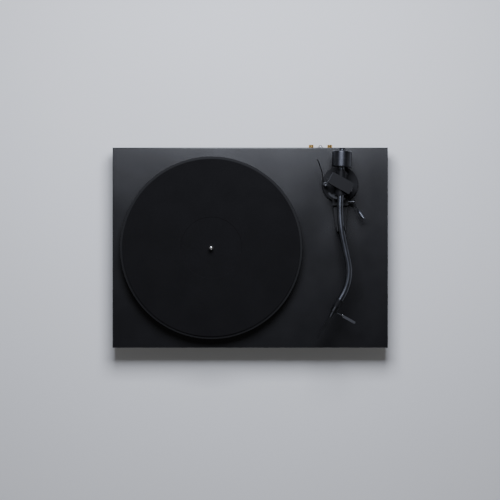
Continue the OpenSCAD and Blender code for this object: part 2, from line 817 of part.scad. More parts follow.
module lift_housing() {
    color("#1b1b1e") at_pivot() difference() {
        translate([-housing_half, housing_front, base_top + joint])
            cube([2 * housing_half, housing_back - housing_front, housing_t]);
        translate([-housing_half + 2, cue_shaft_y, cue_shaft_z]) along_x()
            cylinder(d = cue_journal_d + 2 * run, h = 2 * housing_half);
        translate([rod_x - 4, cue_shaft_y - 5, base_top + 2.5])
            cube([8, rod_y - cue_shaft_y + 8.2, foot_plate_z + foot_plate_t + 0.5 - base_top - 2.5]);
        translate([rod_x, rod_y, base_top + 2]) cylinder(d = rod_d + 2 * run, h = housing_t + over);
    }
}

module hanger_run(a, b) {
    hull() {
        translate(a) sphere(d = hanger_wire_d, $fn = 12);
        translate(b) sphere(d = hanger_wire_d, $fn = 12);
    }
}

module thread_hanger() {
    top = hanger_post_top;
    route = [[hanger_post_x - 1.6, 1.6, top - 4], [-30, 4, top - 1], [-31.3, 13.2, top + 6],
        [-33, 23, top + 13], [-35.4, 31.4, top + 18], [-38.6, 39.6, top + 20]];
    color("#77787c") at_pivot() {
        difference() {
            translate([hanger_post_x, -0.6, base_top + joint])
                cylinder(d = hanger_post_d, h = top - base_top - joint);
            translate([hanger_post_x, -0.6, top - 3]) cylinder(d = 3, h = 3 + over);
        }
        for (i = [0:len(route) - 2]) hanger_run(route[i], route[i + 1]);
    }
}

// ---- Cue ----

module cue_shaft() {
    inner = -housing_half + 2.3;
    color("#5b5c60") at_pivot() {
        translate([inner, cue_shaft_y, cue_shaft_z]) along_x()
            cylinder(d = cue_journal_d, h = cue_shaft_end - inner);
        translate([cue_shaft_bare, cue_shaft_y, cue_shaft_z]) along_x()
            cylinder(d = cue_shaft_d, h = cue_shaft_end - cue_shaft_bare);
        translate([rod_x - 2.5, cue_shaft_y - cam_reach * cos(cam_turn), cue_shaft_z + cue_throw / 2])
            along_x() cylinder(d = cam_d, h = 5);
        translate([lever_x, cue_shaft_y, cue_shaft_z]) rotate([0, 90 - lever_rise, lever_heading])
            cylinder(d = lever_rod_d, h = lever_rod_l);
    }
}

module cue_grip() {
    color("#2a2a2d") at_pivot() translate([lever_x, cue_shaft_y, cue_shaft_z])
        rotate([0, 90 - lever_rise, lever_heading]) difference() {
            union() {
                translate([0, 0, lever_rod_l - 2]) cylinder(d1 = 3.4, d2 = 6, h = 5);
                translate([0, 0, lever_rod_l + 3]) cylinder(d1 = 6, d2 = 5.2, h = lever_grip_l - 5.6);
                translate([0, 0, lever_rod_l + lever_grip_l - 2.6]) sphere(d = 5.2);
            }
            cylinder(d = lever_rod_d + 2 * joint, h = lever_rod_l + joint);
        }
}

module cue_platform() {
    color("#4a4b4f") at_pivot() {
        translate([0, 0, cue_top - cue_t]) rotate([0, 0, cue_from])
            rotate_extrude(angle = cue_to - cue_from, $fn = 96)
            translate([cue_r - cue_w / 2, 0]) square([cue_w, cue_t]);
        translate([rod_x, rod_y, foot_plate_z]) cylinder(d = rod_d, h = cue_top - cue_t / 2 - foot_plate_z);
        translate([rod_x - 3, cue_shaft_y - 4, foot_plate_z])
            cube([6, rod_y - cue_shaft_y + 6, foot_plate_t]);
    }
}

// ---- Bearing block: turns on the pillar ----

module bearing_block() {
    color("#1f1f22") {
        at_block() difference() {
            translate([-block_l / 2, -block_w / 2, block_low])
                cube([block_l, block_w, block_high - block_low]);
            rotate([0, 0, head_turn]) translate([-slot_half_w, -block_l, -slot_half_h])
                cube([2 * slot_half_w, 2 * block_l, 2 * slot_half_h]);
            translate([-block_l, 0, 0]) along_x() cylinder(d = pin_d + 2 * run, h = 2 * block_l);
        }
        at_pivot() translate([0, 0, stem_z]) cylinder(d = stem_d, h = tube_z + block_low + 0.5 - stem_z);
    }
}

module pivot_screws() {
    color("#9fa0a4") at_block() for (side = [0, 180]) rotate([0, 0, side])
        translate([pin_end + air, 0, 0]) along_x() difference() {
            cylinder(d = pin_d, h = block_l / 2 - pin_end - air + 0.8);
            translate([0, 0, block_l / 2 - pin_end - air]) cylinder(d = 1.5, h = 2, $fn = 6);
        }
}

module side_stub() {
    color("#8c8d91") at_block()
        translate([-block_l / 2 - 0.9 - joint, -block_w / 2 + 1.2, block_high - 5]) {
        cube([0.9, block_w - 2.4, 3]);
        translate([0.45, 3, 1.5]) rotate([0, -90, 0]) cylinder(d = 1.6, h = 3.2);
        for (i = [1:3]) translate([0.45 - i, 3, 1.5]) rotate([0, -90, 0]) cylinder(d = 2.6, h = 0.4);
    }
}

// ---- Arm: tilts in the block ----

module pivot_pins() {
    color("#c8c9cc") at_block() for (side = [0, 180]) rotate([0, 0, side])
        translate([pin_start, 0, 0]) along_x() cylinder(d = pin_d, h = pin_end - pin_start);
}

module arm_sleeve() {
    color("#2b2b2e") at_arm() difference() {
        union() {
            translate([0, -sleeve_front, 0]) along_y()
                cylinder(d = sleeve_d, h = sleeve_front + sleeve_back);
            translate([0, sleeve_back - 1, 0]) along_y()
                cylinder(d = 11.6, h = shoulder_end - sleeve_back + 1);
        }
        translate([0, -sleeve_front - over, 0]) along_y()
            cylinder(d = tube_d + 2 * joint, h = sleeve_front + sleeve_back - 6 + over);
        along_y() cylinder(d = stub_d + 2 * joint, h = shoulder_end + over);
        rotate([0, 0, -head_turn]) translate([-sleeve_d, 0, 0]) along_x()
            cylinder(d = pin_d + 2 * run, h = 2 * sleeve_d);
    }
}

// A straight of the tube, a hair thinner than the bends and reaching a little way into them
module tube_run(at, heading, length, d, reach) {
    translate([at.x, at.y, 0]) rotate([90, 0, heading]) translate([0, 0, -reach])
        cylinder(d = d, h = length + 2 * reach);
}

module tube_bend(centre, from, angle, radius, d) {
    translate([centre.x, centre.y, 0]) rotate([0, 0, from]) rotate_extrude(angle = angle)
        translate([radius, 0]) circle(d = d);
}

module tube_route(d, open) {
    tube_run([0, -pin_d + open], 0, straight_1 - pin_d + open, d - 2 * seam, seam_in);
    tube_bend([bend_r1, -straight_1], 180, bend_1, bend_r1, d);
    tube_run(bend_1_end, bend_1, straight_2, d - 2 * seam, seam_in);
    tube_bend(bend_2_centre, -head_turn, turn_sum, bend_r2, d);
    tube_run(head_start, -head_turn, straight_3 - tube_end_s + open, d - 2 * seam, seam_in);
}

module arm_tube() {
    color("#111113") at_arm() difference() {
        tube_route(tube_d, 0);
        tube_route(tube_d - 2 * tube_wall, over);
    }
    color("#111113") at_arm() {
        translate([0, pin_d, 0]) along_y() cylinder(d = stub_d, h = stub_end - pin_d);
        translate([0, stub_end, 0]) along_y() cylinder(d = stub_d - 0.1, h = knob_l);
    }
}

module locking_collar() {
    color("#3a3a3d") at_head(collar_s + air) along_y() difference() {
        cylinder(d = collar_d, h = collar_l - air);
        translate([0, 0, -over]) cylinder(d = tube_d + 2 * run, h = collar_l + 2 * over);
        for (a = [0:30:330]) rotate([0, 0, a]) translate([collar_d / 2 + 0.5, 0, 2])
            cylinder(d = 2.2, h = collar_l - 4.5);
    }
}

module blade_side() {
    polygon([[-tip_reach, -2.5], [blade_l, 3.2], [blade_l, -3.2], [14, -9.5], [-tip_reach, -9.5]]);
}

module cartridge() {
    color("#18181a") difference() {
        cartridge_body();
        at_lift_stalk() cylinder(d = lift_stalk_d + 2 * joint, h = 3);
    }
}

module at_lift_stalk() {
    at_head(lift_s) translate([head_flange_d / 2 - 1.2, 0, -2]) along_x() children();
}

module cartridge_body() {
    at_head(0) {
        intersection() {
            rotate([90, 0, 90]) translate([0, 0, -blade_w]) linear_extrude(2 * blade_w) blade_side();
            translate([0, 0, -20]) linear_extrude(40) polygon([[-tip_w / 2, -tip_reach],
                [tip_w / 2, -tip_reach], [blade_w / 2, blade_l], [-blade_w / 2, blade_l]]);
        }
        translate([0, blade_l - 0.5, 0]) along_y() cylinder(d = blade_w - 0.2, h = neck_l + 1);
        translate([0, flange_s, 0]) along_y() cylinder(d = head_flange_d, h = flange_l);
        translate([0, flange_s + 1, 0]) along_y()
            cylinder(d = tube_d - 2 * tube_wall - 2 * joint, h = flange_l + 8);
    }
}

module stylus_unit() {
    tip_z = -stylus_drop;
    color("#26262a") at_head(0) {
        rotate([90, 0, 90]) translate([0, 0, -tip_w / 2 + 0.2]) linear_extrude(tip_w - 0.4)
            polygon([
                [-tip_reach + 0.4, -9.5 - joint], [13, -9.5 - joint], [12, -13.5],
                [6, -14.4], [-1, -12.5]
            ]);
        translate([0, 8, -13.4]) rotate([90 + 18, 0, 0]) cylinder(d = 0.8, h = 8.4);
        translate([0, 0, tip_z]) cylinder(d1 = 0.1, d2 = 0.7, h = 1.6);
    }
}

module finger_lift() {
    color("#6a6b70") at_lift_stalk() translate([0, 0, joint]) cylinder(d = lift_stalk_d, h = 12.2);
    color("#6a6b70") at_head(lift_s) {
        translate([16.6, 0, -2]) sphere(d = 2.6);
        translate([16.6, 0, -2]) rotate([0, -12, 0]) translate([0, -2, -0.7]) cube([22, 4, 1.4]);
        translate([16.6, 0, -2]) rotate([0, -12, 0]) translate([22, 0, -0.7]) cylinder(d = 4, h = 1.4);
    }
}

module weight_insert() {
    color("#101011") at_arm() translate([0, weight_start + 1, 0]) along_y()
        pipe(stub_d + 5, stub_d + 2 * run, weight_l - 2);
}

module counterweight() {
    edge = 1.5;
    color("#161618") at_arm() translate([0, weight_start, 0]) along_y() difference() {
        rotate_extrude($fn = 96) {
            translate([0, edge]) square([weight_d / 2, weight_l - 2 * edge]);
            square([weight_d / 2 - edge, weight_l]);
            for (y = [edge, weight_l - edge]) translate([weight_d / 2 - edge, y]) circle(r = edge);
        }
        translate([0, 0, -over]) cylinder(d = stub_d + 5 + 2 * run, h = weight_l + 2 * over);
    }
}

plinth();
base_cover();
cover_screws();
foot_front_left();
foot_front_right();
foot_back_left();
foot_back_right();
pad_front_left();
pad_front_right();
pad_back_left();
pad_back_right();
foot_screws();
bearing_housing();
bearing_bushes();
thrust_pad();
thrust_ball();
bearing_screws();
spindle();
sub_platter();
platter();
damping_ring();
mat();
drive_belt();
motor();
motor_plate();
motor_grommets();
motor_pulley();
control_board();
switch_housing();
switch_rocker();
rear_panel();
panel_screws();
phono_sockets();
socket_insulators();
ground_post();
ground_nut();
power_inlet();
signal_leads();
arm_base();
base_screws();
height_pillar();
vertical_bearings();
arm_rest();
lift_housing();
thread_hanger();
cue_shaft();
cue_grip();
cue_platform();
bearing_block();
pivot_screws();
side_stub();
pivot_pins();
arm_sleeve();
arm_tube();
locking_collar();
cartridge();
stylus_unit();
finger_lift();
weight_insert();
counterweight();
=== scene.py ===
"""The finished look of a belt-driven record player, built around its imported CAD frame.

Sizes are in metres, in the frame's own axes: +X is the tonearm side, +Y the connector side, +Z up.
"""

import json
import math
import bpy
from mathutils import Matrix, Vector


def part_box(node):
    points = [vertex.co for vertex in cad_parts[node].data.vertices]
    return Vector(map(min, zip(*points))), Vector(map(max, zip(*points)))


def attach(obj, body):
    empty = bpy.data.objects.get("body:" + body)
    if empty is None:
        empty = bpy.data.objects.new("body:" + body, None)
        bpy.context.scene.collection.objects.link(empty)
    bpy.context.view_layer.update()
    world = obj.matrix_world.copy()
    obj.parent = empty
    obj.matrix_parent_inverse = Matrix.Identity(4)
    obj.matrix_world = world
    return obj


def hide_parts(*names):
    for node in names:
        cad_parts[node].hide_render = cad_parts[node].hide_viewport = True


bl_info = {
    "name": "Record Player",
    "version": (1, 0, 0),
    "blender": (4, 5, 0),
    "location": "3D View > Sidebar > Record Player",
    "description": "Builds a belt-driven record player around its CAD frame",
    "category": "Object",
}

import bmesh
import bpy
from mathutils import Matrix, Vector

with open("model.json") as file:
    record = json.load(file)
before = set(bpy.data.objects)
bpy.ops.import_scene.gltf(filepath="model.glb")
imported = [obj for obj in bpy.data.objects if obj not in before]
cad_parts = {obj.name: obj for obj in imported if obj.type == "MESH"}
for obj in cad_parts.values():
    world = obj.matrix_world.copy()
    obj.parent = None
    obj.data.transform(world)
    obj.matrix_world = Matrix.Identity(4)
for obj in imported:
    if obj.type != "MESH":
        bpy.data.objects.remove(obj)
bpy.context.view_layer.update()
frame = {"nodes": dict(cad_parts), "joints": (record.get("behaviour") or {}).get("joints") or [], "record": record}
JOINTS = {joint["name"]: joint for joint in frame["joints"]}
MM = 0.001
HAIR = 0.00002
SAME_PLACE = 1e-7
FLAT_ANGLE = 0.4
KEEN_ANGLE = 40
UP = Vector((0, 0, 1))


# ---- Places, read from the frame ----


def span(node):
    """A CAD node's lowest corner, highest corner and middle."""
    low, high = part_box(node)
    return low, high, (low + high) / 2


def joint_place(name):
    return Vector(JOINTS[name]["pos_m"])


def joint_axis(name):
    return Vector(JOINTS[name]["axis"]).normalized()


def facing(place, along, side=UP):
    """A frame at place whose Z runs along a direction, with its Y as near to side as can be."""
    z = along.normalized()
    x = side.cross(z).normalized()
    y = z.cross(x)
    return Matrix.Translation(place) @ Matrix((x, y, z)).transposed().to_4x4()


def upright(place):
    return Matrix.Translation(place)


HUB = span("spindle")[2]
ARM_PIVOT = joint_place("arm_swing")
ARM_BACK = joint_axis("counterweight_turn")
HEAD_BACK = joint_axis("collar_turn")
COLLAR_FRONT = joint_place("collar_turn")

# Places along the arm's head, measured back from the stylus
COLLAR_REACH = 57.4 * MM
NECK = (38.6 * MM, 47.6 * MM, 3.5 * MM)
FLANGE = (48.3 * MM, 56.8 * MM, 5.68 * MM)
LIFT_REACH = 49.6 * MM
LIFT_OUT = 16.6 * MM
LIFT_SINK = 0.9 * MM

# The mat
LABEL_RADIUS = 50 * MM
MAT_HOLE = 3.75 * MM
MAT_RING_PITCH = 0.8 * MM

# Round the arm's pivot
HANGER_BACK = 24.6 * MM
HANGER_SIDE = 0.6 * MM
HANGER_POST_R = 3.3 * MM
HANGER_WIRE_R = 0.9 * MM
HANGER_WIRE_RISE = 20 * MM
CUE_RIB_RADIUS = 25 * MM
CUE_RIB_ARC = (math.radians(219), math.radians(284))
KNOB_REACH = 16.2 * MM


# ---- Finishes ----


class FinishNodes:
    """Adds texture nodes to a new material and links them to its shader."""

    def __init__(self, name):
        self.material = bpy.data.materials.new(name)
        self.material.use_nodes = True
        self.tree = self.material.node_tree
        self.shader = self.tree.nodes["Principled BSDF"]
        self.place = self.tree.nodes.new("ShaderNodeTexCoord").outputs["Object"]

    def set(self, socket, value):
        self.shader.inputs[socket].default_value = value

    def link(self, output, socket):
        self.tree.links.new(output, self.shader.inputs[socket])

    def stretched(self, scale, shift=(0, 0, 0), turn=(0, 0, 0)):
        mapping = self.tree.nodes.new("ShaderNodeMapping")
        mapping.inputs["Scale"].default_value = scale
        mapping.inputs["Location"].default_value = shift
        mapping.inputs["Rotation"].default_value = turn
        self.tree.links.new(self.place, mapping.inputs["Vector"])
        return mapping.outputs["Vector"]

    def noise(self, scale, detail=3.0, vector=None, rough=0.5):
        node = self.tree.nodes.new("ShaderNodeTexNoise")
        node.inputs["Scale"].default_value = scale
        node.inputs["Detail"].default_value = detail
        node.inputs["Roughness"].default_value = rough
        self.tree.links.new(vector or self.place, node.inputs["Vector"])
        return node.outputs["Fac"]

    def cells(self, scale, vector=None):
        node = self.tree.nodes.new("ShaderNodeTexVoronoi")
        node.inputs["Scale"].default_value = scale
        self.tree.links.new(vector or self.place, node.inputs["Vector"])
        return node.outputs["Distance"]

    def spread(self, value, low, high, start=0.3, end=0.7):
        node = self.tree.nodes.new("ShaderNodeMapRange")
        node.inputs["From Min"].default_value = start
        node.inputs["From Max"].default_value = end
        node.inputs["To Min"].default_value = low
        node.inputs["To Max"].default_value = high
        self.tree.links.new(value, node.inputs["Value"])
        return node.outputs["Result"]

    def blend(self, value, dark, light, start=0.3, end=0.7):
        node = self.tree.nodes.new("ShaderNodeValToRGB")
        node.color_ramp.elements[0].position = start
        node.color_ramp.elements[1].position = end
        node.color_ramp.elements[0].color = (*dark, 1)
        node.color_ramp.elements[1].color = (*light, 1)
        self.tree.links.new(value, node.inputs["Fac"])
        return node.outputs["Color"]

    def radius(self, centre):
        """Distance from a vertical axis through centre."""
        moved = self.stretched((1, 1, 0), (-centre.x, -centre.y, 0))
        node = self.tree.nodes.new("ShaderNodeVectorMath")
        node.operation = "LENGTH"
        self.tree.links.new(moved, node.inputs[0])
        return node.outputs["Value"]

    def bump(self, height, strength, depth, under=None):
        node = self.tree.nodes.new("ShaderNodeBump")
        node.inputs["Strength"].default_value = strength
        node.inputs["Distance"].default_value = depth
        self.tree.links.new(height, node.inputs["Height"])
        if under is not None:
            self.tree.links.new(under, node.inputs["Normal"])
        return node.outputs["Normal"]


def shade(colour, factor):
    return tuple(min(channel * factor, 1.0) for channel in colour)


def painted(name, colour, rough=0.35, peel=0.2, gloss=0.5):
    """Sprayed paint: orange peel, cloudy gloss and a few dust nibs."""
    nodes = FinishNodes(name)
    cloud = nodes.noise(14, 4)
    nodes.link(nodes.blend(cloud, shade(colour, 0.88), shade(colour, 1.12)), "Base Color")
    nodes.link(nodes.spread(cloud, rough * 0.92, rough * 1.1), "Roughness")
    skin = nodes.bump(nodes.noise(1400, 2), peel, 0.00002)
    nibs = nodes.bump(nodes.spread(nodes.cells(260), 1, 0, 0.0, 0.03), 0.15, 0.00003, skin)
    nodes.link(nibs, "Normal")
    nodes.set("Specular IOR Level", gloss)
    return nodes.material


def moulded(name, colour, rough=0.5, grain=2600, depth=0.00005, gloss=0.25):
    """Moulded plastic: a fine eroded grain and slightly rubbed patches."""
    nodes = FinishNodes(name)
    rubbed = nodes.noise(60, 5)
    nodes.link(nodes.blend(rubbed, shade(colour, 0.82), shade(colour, 1.2)), "Base Color")
    nodes.link(nodes.spread(rubbed, rough * 0.85, min(rough * 1.15, 1)), "Roughness")
    nodes.link(nodes.bump(nodes.noise(grain, 3), 0.35, depth), "Normal")
    nodes.set("Specular IOR Level", gloss)
    return nodes.material


def rubbery(name, colour, rough=0.8):
    """Soft rubber: matt, speckled and a little dusty."""
    nodes = FinishNodes(name)
    dust = nodes.noise(240, 6, rough=0.7)
    nodes.link(nodes.blend(dust, shade(colour, 0.8), shade(colour, 1.5), 0.4, 0.75), "Base Color")
    nodes.link(nodes.spread(dust, rough * 0.9, min(rough * 1.1, 1)), "Roughness")
    nodes.link(nodes.bump(nodes.noise(3200, 2), 0.4, 0.00006), "Normal")
    nodes.set("Specular IOR Level", 0.25)
    return nodes.material


def turned(name, colour, rough=0.3, axis=(3, 3, 4200), turn=(0, 0, 0), depth=0.00001, metallic=1.0):
    """Metal turned on a lathe: fine lines round the axis, and a hint of tarnish."""
    nodes = FinishNodes(name)
    lines = nodes.noise(1.0, 2, nodes.stretched(axis, turn=turn))
    tarnish = nodes.noise(90, 5)
    nodes.link(nodes.blend(tarnish, shade(colour, 0.85), shade(colour, 1.08)), "Base Color")
    nodes.link(nodes.spread(lines, rough * 0.75, rough * 1.25), "Roughness")
    nodes.link(nodes.bump(lines, 0.3, depth), "Normal")
    nodes.set("Metallic", metallic)
    return nodes.material


def blasted(name, colour, rough=0.45, metallic=1.0, grain=5200, gloss=0.5):
    """Blasted and anodised metal: an even fine grain."""
    nodes = FinishNodes(name)
    cloud = nodes.noise(45, 4)
    nodes.link(nodes.blend(cloud, shade(colour, 0.88), shade(colour, 1.12)), "Base Color")
    nodes.link(nodes.spread(cloud, rough * 0.9, rough * 1.1), "Roughness")
    nodes.link(nodes.bump(nodes.noise(grain, 2), 0.25, 0.00002), "Normal")
    nodes.set("Metallic", metallic)
    nodes.set("Specular IOR Level", gloss)
    return nodes.material


def mat_rubber(name, colour):
    """The platter mat: matt, with very fine rings and a cloudy nap."""
    nodes = FinishNodes(name)
    nap = nodes.noise(900, 4, rough=0.6)
    cloud = nodes.noise(22, 5)
    nodes.link(nodes.blend(cloud, shade(colour, 0.88), shade(colour, 1.14)), "Base Color")
    nodes.link(nodes.spread(nap, 0.7, 0.95), "Roughness")
    wave = nodes.tree.nodes.new("ShaderNodeMath")
    wave.operation = "SINE"
    pitch = nodes.tree.nodes.new("ShaderNodeMath")
    pitch.operation = "MULTIPLY"
    pitch.inputs[1].default_value = 2 * math.pi / MAT_RING_PITCH
    nodes.tree.links.new(nodes.radius(HUB), pitch.inputs[0])
    nodes.tree.links.new(pitch.outputs[0], wave.inputs[0])
    rings = nodes.bump(wave.outputs[0], 0.08, 0.00002)
    nodes.link(nodes.bump(nap, 0.5, 0.00006, rings), "Normal")
    nodes.set("Specular IOR Level", 0.1)
    return nodes.material


def circuit_board(name, colour):
    """Green solder mask with the faint relief of tracks below it."""
    nodes = FinishNodes(name)
    tracks = nodes.tree.nodes.new("ShaderNodeTexBrick")
    tracks.inputs["Scale"].default_value = 260
    tracks.inputs["Color1"].default_value = (*colour, 1)
    tracks.inputs["Color2"].default_value = (*shade(colour, 0.8), 1)
    tracks.inputs["Mortar"].default_value = (*shade(colour, 1.7), 1)
    nodes.tree.links.new(nodes.place, tracks.inputs["Vector"])
    nodes.link(tracks.outputs["Color"], "Base Color")
    nodes.link(nodes.spread(nodes.noise(300), 0.3, 0.5), "Roughness")
    nodes.link(nodes.bump(tracks.outputs["Fac"], 0.3, 0.00004), "Normal")
    return nodes.material


def painted_floor(name, colour):
    """A plain pale studio floor with a barely visible cloudiness."""
    nodes = FinishNodes(name)
    cloud = nodes.noise(1.2, 3)
    nodes.link(nodes.blend(cloud, shade(colour, 0.985), shade(colour, 1.01)), "Base Color")
    nodes.link(nodes.spread(cloud, 0.62, 0.75), "Roughness")
    nodes.link(nodes.bump(nodes.noise(180, 4), 0.05, 0.0002), "Normal")
    return nodes.material


class PlayerLook(bpy.types.PropertyGroup):
    """Colours that a maker would change."""

    lacquer: bpy.props.FloatVectorProperty(
        name="Plinth lacquer",
        description="Colour of the plinth's lacquer",
        subtype="COLOR",
        default=(0.0068, 0.0068, 0.0078),
        min=0,
        max=1,
    )
    mat: bpy.props.FloatVectorProperty(
        name="Platter mat",
        description="Colour of the platter mat",
        subtype="COLOR",
        default=(0.0058, 0.0056, 0.0062),
        min=0,
        max=1,
    )
    metal: bpy.props.FloatVectorProperty(
        name="Arm metal",
        description="Colour of the black arm parts",
        subtype="COLOR",
        default=(0.006, 0.006, 0.007),
        min=0,
        max=1,
    )
    lacquer_roughness: bpy.props.FloatProperty(
        name="Lacquer roughness",
        description="How far the plinth's lacquer spreads a reflection",
        subtype="FACTOR",
        default=0.25,
        min=0.05,
        max=1,
    )


class PlayerDetail(bpy.types.PropertyGroup):
    """Small sizes of the details that the frame leaves plain."""

    edge: bpy.props.FloatProperty(
        name="Edge rounding",
        description="Rounding of machined and moulded edges",
        subtype="DISTANCE",
        unit="LENGTH",
        default=0.35 * MM,
        min=0.05 * MM,
        max=1 * MM,
    )
    mat_edge: bpy.props.FloatProperty(
        name="Mat edge",
        description="Rounding of the platter mat's edge",
        subtype="DISTANCE",
        unit="LENGTH",
        default=0.7 * MM,
        min=0.1 * MM,
        max=1.2 * MM,
    )
    knurls: bpy.props.IntProperty(
        name="Knurls",
        description="Number of ridges round a knurled knob",
        default=28,
        min=12,
        max=60,
    )
    lathe_steps: bpy.props.IntProperty(
        name="Turned steps",
        description="Number of faces round a turned piece",
        default=96,
        min=24,
        max=256,
    )


def look():
    return bpy.context.scene.player_look


def detail():
    return bpy.context.scene.player_detail


FINISHES = {
    "lacquer": lambda: painted("satin_lacquer", look().lacquer, look().lacquer_roughness),
    "black_plastic": lambda: moulded("black_plastic", (0.006, 0.006, 0.0065), 0.45),
    "rubber": lambda: rubbery("black_rubber", (0.012, 0.012, 0.012)),
    "steel": lambda: turned("turned_steel", (0.5, 0.5, 0.52), 0.28),
    "dark_steel": lambda: turned("dark_steel", (0.055, 0.056, 0.06), 0.32),
    "bronze": lambda: turned("bearing_bronze", (0.42, 0.26, 0.11), 0.36),
    "polished_steel": lambda: turned("polished_steel", (0.78, 0.78, 0.8), 0.1),
    "white_plastic": lambda: moulded("white_plastic", (0.68, 0.66, 0.6), 0.4),
    "platter_coat": lambda: painted("platter_coat", (0.006, 0.006, 0.0066), 0.5, 0.3, 0.15),
    "mat": lambda: mat_rubber("mat_rubber", look().mat),
    "grey_metal": lambda: blasted("zinc_plate", (0.3, 0.31, 0.32), 0.38),
    "board": lambda: circuit_board("circuit_board", (0.01, 0.09, 0.035)),
    "gold": lambda: turned("gold_plate", (0.83, 0.52, 0.17), 0.16, (3, 4200, 3)),
    "arm_black": lambda: blasted("anodised_black", look().metal, 0.5, 0.0, gloss=0.14),
    "gloss_black": lambda: blasted("gloss_black", (0.1, 0.105, 0.12), 0.32),
    "weight_black": lambda: turned(
        "weight_black",
        (0.055, 0.057, 0.065),
        0.36,
        (3, 3600, 3),
        (0, 0, math.atan2(ARM_BACK.x, ARM_BACK.y)),
    ),
    "cartridge_black": lambda: moulded(
        "cartridge_black", (0.006, 0.006, 0.0066), 0.42, 4200, 0.00003
    ),
    "grey_plastic": lambda: moulded("grey_plastic", (0.022, 0.023, 0.027), 0.45, 3000, 0.00003),
}
made_finishes = {}


def finish(slot):
    """The material of a slot, made once."""
    if slot not in made_finishes:
        made_finishes[slot] = FINISHES[slot]()
    return made_finishes[slot]


SLOT_OF = {part["node"]: part["material_slot"] for part in frame["record"]["subparts"]}
BODY_OF = {
    node: body for body, nodes in frame["record"]["behaviour"]["bodies"].items() for node in nodes
}


# ---- Shapes ----


def piece_from(shape, name, body, slot, nodes=(), sharp=35):
    """Turns a bmesh into a piece that rides on a body and stands for CAD nodes."""
    bmesh.ops.recalc_face_normals(shape, faces=shape.faces)
    mesh = bpy.data.meshes.new(name)
    shape.to_mesh(mesh)
    shape.free()
    for polygon in mesh.polygons:
        polygon.use_smooth = True
    mesh.set_sharp_from_angle(angle=math.radians(sharp))
    piece = bpy.data.objects.new(name, mesh)
    bpy.context.scene.collection.objects.link(piece)
    mesh.materials.append(finish(slot))
    weighting = piece.modifiers.new("face_weighting", "WEIGHTED_NORMAL")
    weighting.keep_sharp = True
    weighting.weight = 100
    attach(piece, body)
    if nodes:
        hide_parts(*nodes)
    return piece


def ring(shape, radius, height, steps, place, ripple=None):
    verts = []
    for step in range(steps):
        angle = 2 * math.pi * step / steps
        reach = radius + (ripple(angle) if ripple else 0)
        spot = Vector((reach * math.cos(angle), reach * math.sin(angle), height))
        verts.append(shape.verts.new(place @ spot))
    return verts


def bridge(shape, first, second):
    count = max(len(first), len(second))
    for step in range(count):
        ahead = (step + 1) % count
        if len(first) == 1:
            shape.faces.new((first[0], second[step], second[ahead]))
        elif len(second) == 1:
            shape.faces.new((first[step], first[ahead], second[0]))
        else:
            shape.faces.new((first[step], first[ahead], second[ahead], second[step]))


def lathe(shape, profile, place, steps=0, closed=False, ripple=None):
    """Turns a profile of (radius, height) points about the place's Z.

    A closed profile makes a ring. A point with a third item follows the ripple.
    """
    steps = steps or detail().lathe_steps
    rings = []
    for radius, height, *knurled in profile:
        if radius < SAME_PLACE:
            rings.append([shape.verts.new(place @ Vector((0, 0, height)))])
        else:
            rings.append(ring(shape, radius, height, steps, place, ripple if knurled else None))
    for first, second in zip(rings, rings[1:]):
        bridge(shape, first, second)
    if closed:
        bridge(shape, rings[-1], rings[0])


def knurling(depth, count):
    """How far a knurled surface sinks at an angle, with count ridges in a turn."""
    return lambda angle: -depth * (0.5 + 0.5 * math.cos(angle * count))


def rounded(corner, before, after, radius, steps=4):
    """Points of an arc that rounds one corner of a profile."""
    corner, before, after = Vector(corner), Vector(before), Vector(after)
    into = (before - corner).normalized()
    out = (after - corner).normalized()
    points = []
    for step in range(steps + 1):
        t = step / steps
        a = corner + into * radius * (1 - t) ** 2 + out * radius * t**2
        points.append((a.x, a.y))
    return points


def soft_profile(corners, radius, closed=False):
    """Rounds each inner corner of a profile, or every corner of a closed one."""
    points = []
    count = len(corners)
    for index, corner in enumerate(corners):
        if not closed and index in (0, count - 1):
            points.append(corner)
            continue
        points += rounded(corner, corners[index - 1], corners[(index + 1) % count], radius)
    return points


def sweep(shape, route, radius, steps=16):
    """A closed tube along a route."""
    rings = []
    side = None
    for index, spot in enumerate(route):
        ahead = route[min(index + 1, len(route) - 1)] - route[max(index - 1, 0)]
        ahead.normalize()
        if side is None:
            side = ahead.orthogonal() if abs(ahead.z) > 0.9 else ahead.cross(UP)
        side = (side - ahead * side.dot(ahead)).normalized()
        lift = ahead.cross(side)
        loop = []
        for step in range(steps):
            angle = 2 * math.pi * step / steps
            offset = side * math.cos(angle) * radius + lift * math.sin(angle) * radius
            loop.append(shape.verts.new(spot + offset))
        rings.append(loop)
    for first, second in zip(rings, rings[1:]):
        bridge(shape, first, second)
    shape.faces.new(rings[0])
    shape.faces.new(rings[-1])


def smooth_route(points, per_leg=8):
    """A smooth curve through points."""
    points = [Vector(point) for point in points]
    padded = [2 * points[0] - points[1], *points, 2 * points[-1] - points[-2]]
    route = []
    for a, b, c, d in zip(padded, padded[1:], padded[2:], padded[3:]):
        for step in range(per_leg):
            t = step / per_leg
            bend = (2 * a - 5 * b + 4 * c - d) * t**2
            twist = (3 * b - a - 3 * c + d) * t**3
            route.append(0.5 * (2 * b + (c - a) * t + bend + twist))
    route.append(points[-1])
    return route


def block(shape, low, high, place=Matrix(), edge=0.0, steps=2):
    """A box between two corners with rounded edges."""
    low, high = Vector(low), Vector(high)
    made = bmesh.ops.create_cube(shape, size=1.0)["verts"]
    size = high - low
    middle = (low + high) / 2
    for vert in made:
        vert.co = middle + Vector(a * b for a, b in zip(vert.co, size))
    if edge:
        edges = {e for vert in made for e in vert.link_edges}
        made_more = bmesh.ops.bevel(
            shape, geom=list(edges), offset=edge, segments=steps, affect="EDGES", profile=0.5
        )
        bevelled = {vert for face in made_more["faces"] for vert in face.verts}
        made = bevelled | {vert for vert in made if vert.is_valid}
    bmesh.ops.transform(shape, matrix=place, verts=list(made))


